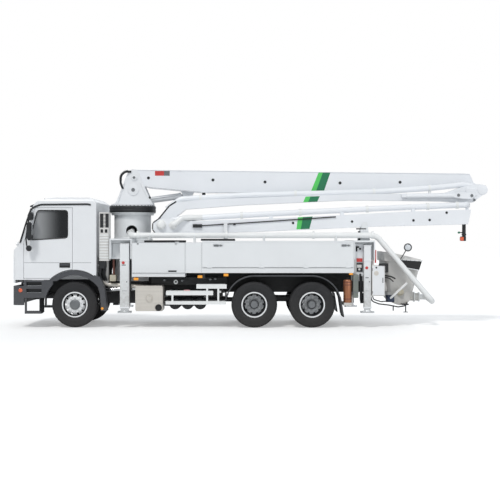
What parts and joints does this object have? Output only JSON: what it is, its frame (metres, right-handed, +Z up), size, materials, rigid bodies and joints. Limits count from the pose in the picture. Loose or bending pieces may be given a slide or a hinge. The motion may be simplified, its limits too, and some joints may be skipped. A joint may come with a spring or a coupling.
{
  "type": "concrete pump truck",
  "caption": "Three-axle truck with a folding concrete boom on a slewing turret, four outriggers, a rear hopper and a delivery line; cab tilts, wheels steer and roll.",
  "frame": {"origin": "centre of the footprint on the ground, under the middle of the overall length and width", "axes": "+X to the rear of the truck, +Y to the passenger side, +Z up; the cab faces -X"},
  "size_m": [11.2924, 3.025, 3.7698],
  "materials": {
    "chassis_grey": "satin dark grey paint",
    "engine_iron": "dull grey",
    "tyre": "matt black rubber",
    "wheel_silver": "satin silver paint",
    "cab_white": "gloss white paint",
    "glass": "dark tinted",
    "cab_inside": "dark grey",
    "mirror_black": "matt black",
    "anthracite": "satin dark grey",
    "lamp": "clear",
    "stainless": "brushed",
    "tank_grey": "satin",
    "bottle_black": "satin black",
    "body_white": "gloss white paint",
    "guard_grey": "satin grey",
    "rod_chrome": "bright steel",
    "cylinder_grey": "satin grey paint",
    "grate_black": "satin black",
    "line_grey": "satin white paint"
  },
  "bodies": {
    "chassis": {"chassis_frame": "chassis_grey", "axles": "chassis_grey", "engine": "engine_iron", "cab_lower_trim": "anthracite", "air_intake": "anthracite", "head_lamps": "lamp", "silencer": "stainless", "fuel_tank": "tank_grey", "air_bottles": "bottle_black", "pedestal": "body_white", "deck": "body_white", "rear_frame": "body_white", "side_guards": "body_white", "hopper": "body_white", "rear_guards": "guard_grey", "pump_cylinders": "cylinder_grey", "side_boxes": "cylinder_grey", "delivery_line": "line_grey"},
    "cab": {"cab_shell": "cab_white", "cab_glass": "glass", "cab_interior": "cab_inside"},
    "door_left": {"door_left": "cab_white", "door_glass_left": "glass", "mirror_left": "mirror_black"},
    "door_right": {"door_right": "cab_white", "door_glass_right": "glass", "mirror_right": "mirror_black"},
    "knuckle_left": {"knuckle_left": "chassis_grey"},
    "knuckle_right": {"knuckle_right": "chassis_grey"},
    "front_wheel_left": {"front_tyre_left": "tyre", "front_rim_left": "wheel_silver"},
    "front_wheel_right": {"front_tyre_right": "tyre", "front_rim_right": "wheel_silver"},
    "rear_wheels_1_left": {"rear_tyres_1_left": "tyre", "rear_rims_1_left": "wheel_silver"},
    "rear_wheels_1_right": {"rear_tyres_1_right": "tyre", "rear_rims_1_right": "wheel_silver"},
    "rear_wheels_2_left": {"rear_tyres_2_left": "tyre", "rear_rims_2_left": "wheel_silver"},
    "rear_wheels_2_right": {"rear_tyres_2_right": "tyre", "rear_rims_2_right": "wheel_silver"},
    "turret": {"turret": "body_white"},
    "boom_1": {"boom_section_1": "body_white"},
    "boom_2": {"boom_section_2": "body_white"},
    "boom_3": {"boom_section_3": "body_white"},
    "lift_barrel": {"lift_barrel": "cylinder_grey"},
    "lift_rod": {"lift_rod": "rod_chrome"},
    "locker_door_left": {"locker_door_left": "body_white"},
    "locker_door_right": {"locker_door_right": "body_white"},
    "drop_side_left": {"drop_side_left": "body_white"},
    "drop_side_right": {"drop_side_right": "body_white"},
    "hopper_grate": {"hopper_grate": "grate_black"},
    "beam_front_left": {"outrigger_beam_front_left": "body_white"},
    "jack_front_left": {"outrigger_jack_front_left": "rod_chrome"},
    "beam_front_right": {"outrigger_beam_front_right": "body_white"},
    "jack_front_right": {"outrigger_jack_front_right": "rod_chrome"},
    "beam_rear_left": {"outrigger_beam_rear_left": "body_white"},
    "jack_rear_left": {"outrigger_jack_rear_left": "rod_chrome"},
    "beam_rear_right": {"outrigger_beam_rear_right": "body_white"},
    "jack_rear_right": {"outrigger_jack_rear_right": "rod_chrome"}
  },
  "joints": [
    {"name": "cab_tilt", "type": "hinge", "parent": "chassis", "child": "cab", "pos_m": [-5.605, 0, 1.01], "axis": [0, -1, 0], "range_deg": [0, 60]},
    {"name": "door_left", "type": "hinge", "parent": "cab", "child": "door_left", "pos_m": [-5.388, -1.238, 1.9], "axis": [0, 0, -1], "range_deg": [0, 80]},
    {"name": "steer_left", "type": "hinge", "parent": "chassis", "child": "knuckle_left", "pos_m": [-4.205, -0.9, 0.538], "axis": [0, 0, 1], "range_deg": [-40, 40]},
    {"name": "front_wheel_spin_left", "type": "hinge", "parent": "knuckle_left", "child": "front_wheel_left", "pos_m": [-4.205, -1.022, 0.538], "axis": [0, 1, 0], "continuous": true},
    {"name": "rear_wheel_spin_1_left", "type": "hinge", "parent": "chassis", "child": "rear_wheels_1_left", "pos_m": [-0.005, -0.918, 0.538], "axis": [0, 1, 0], "continuous": true},
    {"name": "rear_wheel_spin_2_left", "type": "hinge", "parent": "chassis", "child": "rear_wheels_2_left", "pos_m": [1.345, -0.918, 0.538], "axis": [0, 1, 0], "continuous": true},
    {"name": "door_right", "type": "hinge", "parent": "cab", "child": "door_right", "pos_m": [-5.388, 1.238, 1.9], "axis": [0, 0, 1], "range_deg": [0, 80]},
    {"name": "steer_right", "type": "hinge", "parent": "chassis", "child": "knuckle_right", "pos_m": [-4.205, 0.9, 0.538], "axis": [0, 0, 1], "range_deg": [-40, 40]},
    {"name": "front_wheel_spin_right", "type": "hinge", "parent": "knuckle_right", "child": "front_wheel_right", "pos_m": [-4.205, 1.022, 0.538], "axis": [0, 1, 0], "continuous": true},
    {"name": "rear_wheel_spin_1_right", "type": "hinge", "parent": "chassis", "child": "rear_wheels_1_right", "pos_m": [-0.005, 0.918, 0.538], "axis": [0, 1, 0], "continuous": true},
    {"name": "rear_wheel_spin_2_right", "type": "hinge", "parent": "chassis", "child": "rear_wheels_2_right", "pos_m": [1.345, 0.918, 0.538], "axis": [0, 1, 0], "continuous": true},
    {"name": "turret_slew", "type": "hinge", "parent": "chassis", "child": "turret", "pos_m": [-2.977, 0, 2.7], "axis": [0, 0, 1], "range_deg": [0, 180]},
    {"name": "boom_1_lift", "type": "hinge", "parent": "turret", "child": "boom_1", "pos_m": [-2.931, 0, 3.572], "axis": [0, -1, 0], "range_deg": [0, 80]},
    {"name": "boom_2_fold", "type": "hinge", "parent": "boom_1", "child": "boom_2", "pos_m": [5.495, 0, 3.258], "axis": [0, 1, 0], "range_deg": [0, 180]},
    {"name": "boom_3_fold", "type": "hinge", "parent": "boom_2", "child": "boom_3", "pos_m": [-2.231, 0, 2.388], "axis": [0, -1, 0], "range_deg": [0, 180]},
    {"name": "lift_barrel_turn", "type": "hinge", "parent": "turret", "child": "lift_barrel", "pos_m": [-2.705, 0.1, 3.01], "axis": [0, -1, 0], "range_deg": [-5, 74.2]},
    {"name": "lift_rod_slide", "type": "slide", "parent": "lift_barrel", "child": "lift_rod", "axis": [0.9913, 0, 0.1317], "range_m": [-0.01, 0.744]},
    {"name": "beam_front_left_slide", "type": "slide", "parent": "chassis", "child": "beam_front_left", "axis": [0, -1, 0], "range_m": [0, 1.5]},
    {"name": "jack_front_left_slide", "type": "slide", "parent": "beam_front_left", "child": "jack_front_left", "axis": [0, 0, -1], "range_m": [0, 0.45]},
    {"name": "beam_front_right_slide", "type": "slide", "parent": "chassis", "child": "beam_front_right", "axis": [0, 1, 0], "range_m": [0, 1.5]},
    {"name": "jack_front_right_slide", "type": "slide", "parent": "beam_front_right", "child": "jack_front_right", "axis": [0, 0, -1], "range_m": [0, 0.45]},
    {"name": "beam_rear_left_slide", "type": "slide", "parent": "chassis", "child": "beam_rear_left", "axis": [0, -1, 0], "range_m": [0, 1.5]},
    {"name": "jack_rear_left_slide", "type": "slide", "parent": "beam_rear_left", "child": "jack_rear_left", "axis": [0, 0, -1], "range_m": [0, 0.45]},
    {"name": "beam_rear_right_slide", "type": "slide", "parent": "chassis", "child": "beam_rear_right", "axis": [0, 1, 0], "range_m": [0, 1.5]},
    {"name": "jack_rear_right_slide", "type": "slide", "parent": "beam_rear_right", "child": "jack_rear_right", "axis": [0, 0, -1], "range_m": [0, 0.45]},
    {"name": "locker_door_left", "type": "hinge", "parent": "chassis", "child": "locker_door_left", "pos_m": [-2.241, -1.25, 1.998], "axis": [-1, 0, 0], "range_deg": [0, 100]},
    {"name": "drop_side_left", "type": "hinge", "parent": "chassis", "child": "drop_side_left", "pos_m": [0.545, -1.258, 1.41], "axis": [1, 0, 0], "range_deg": [0, 170]},
    {"name": "locker_door_right", "type": "hinge", "parent": "chassis", "child": "locker_door_right", "pos_m": [-2.241, 1.25, 1.998], "axis": [1, 0, 0], "range_deg": [0, 100]},
    {"name": "drop_side_right", "type": "hinge", "parent": "chassis", "child": "drop_side_right", "pos_m": [0.545, 1.258, 1.41], "axis": [-1, 0, 0], "range_deg": [0, 170]},
    {"name": "hopper_grate", "type": "hinge", "parent": "chassis", "child": "hopper_grate", "pos_m": [3.175, 0, 1.5603], "axis": [0, -1, 0], "range_deg": [0, 90]}
  ],
  "couplings": [
    {"joint": "steer_right", "follows": "steer_left", "ratio": 1},
    {"joint": "turret_slew", "follows": "boom_1_lift", "ratio": 2.25},
    {"joint": "lift_barrel_turn", "follows": "boom_1_lift", "ratio": 0.86481},
    {"joint": "lift_rod_slide", "follows": "boom_1_lift", "m_per_rad": 0.52558},
    {"joint": "boom_3_fold", "follows": "boom_2_fold", "ratio": 1}
  ]
}
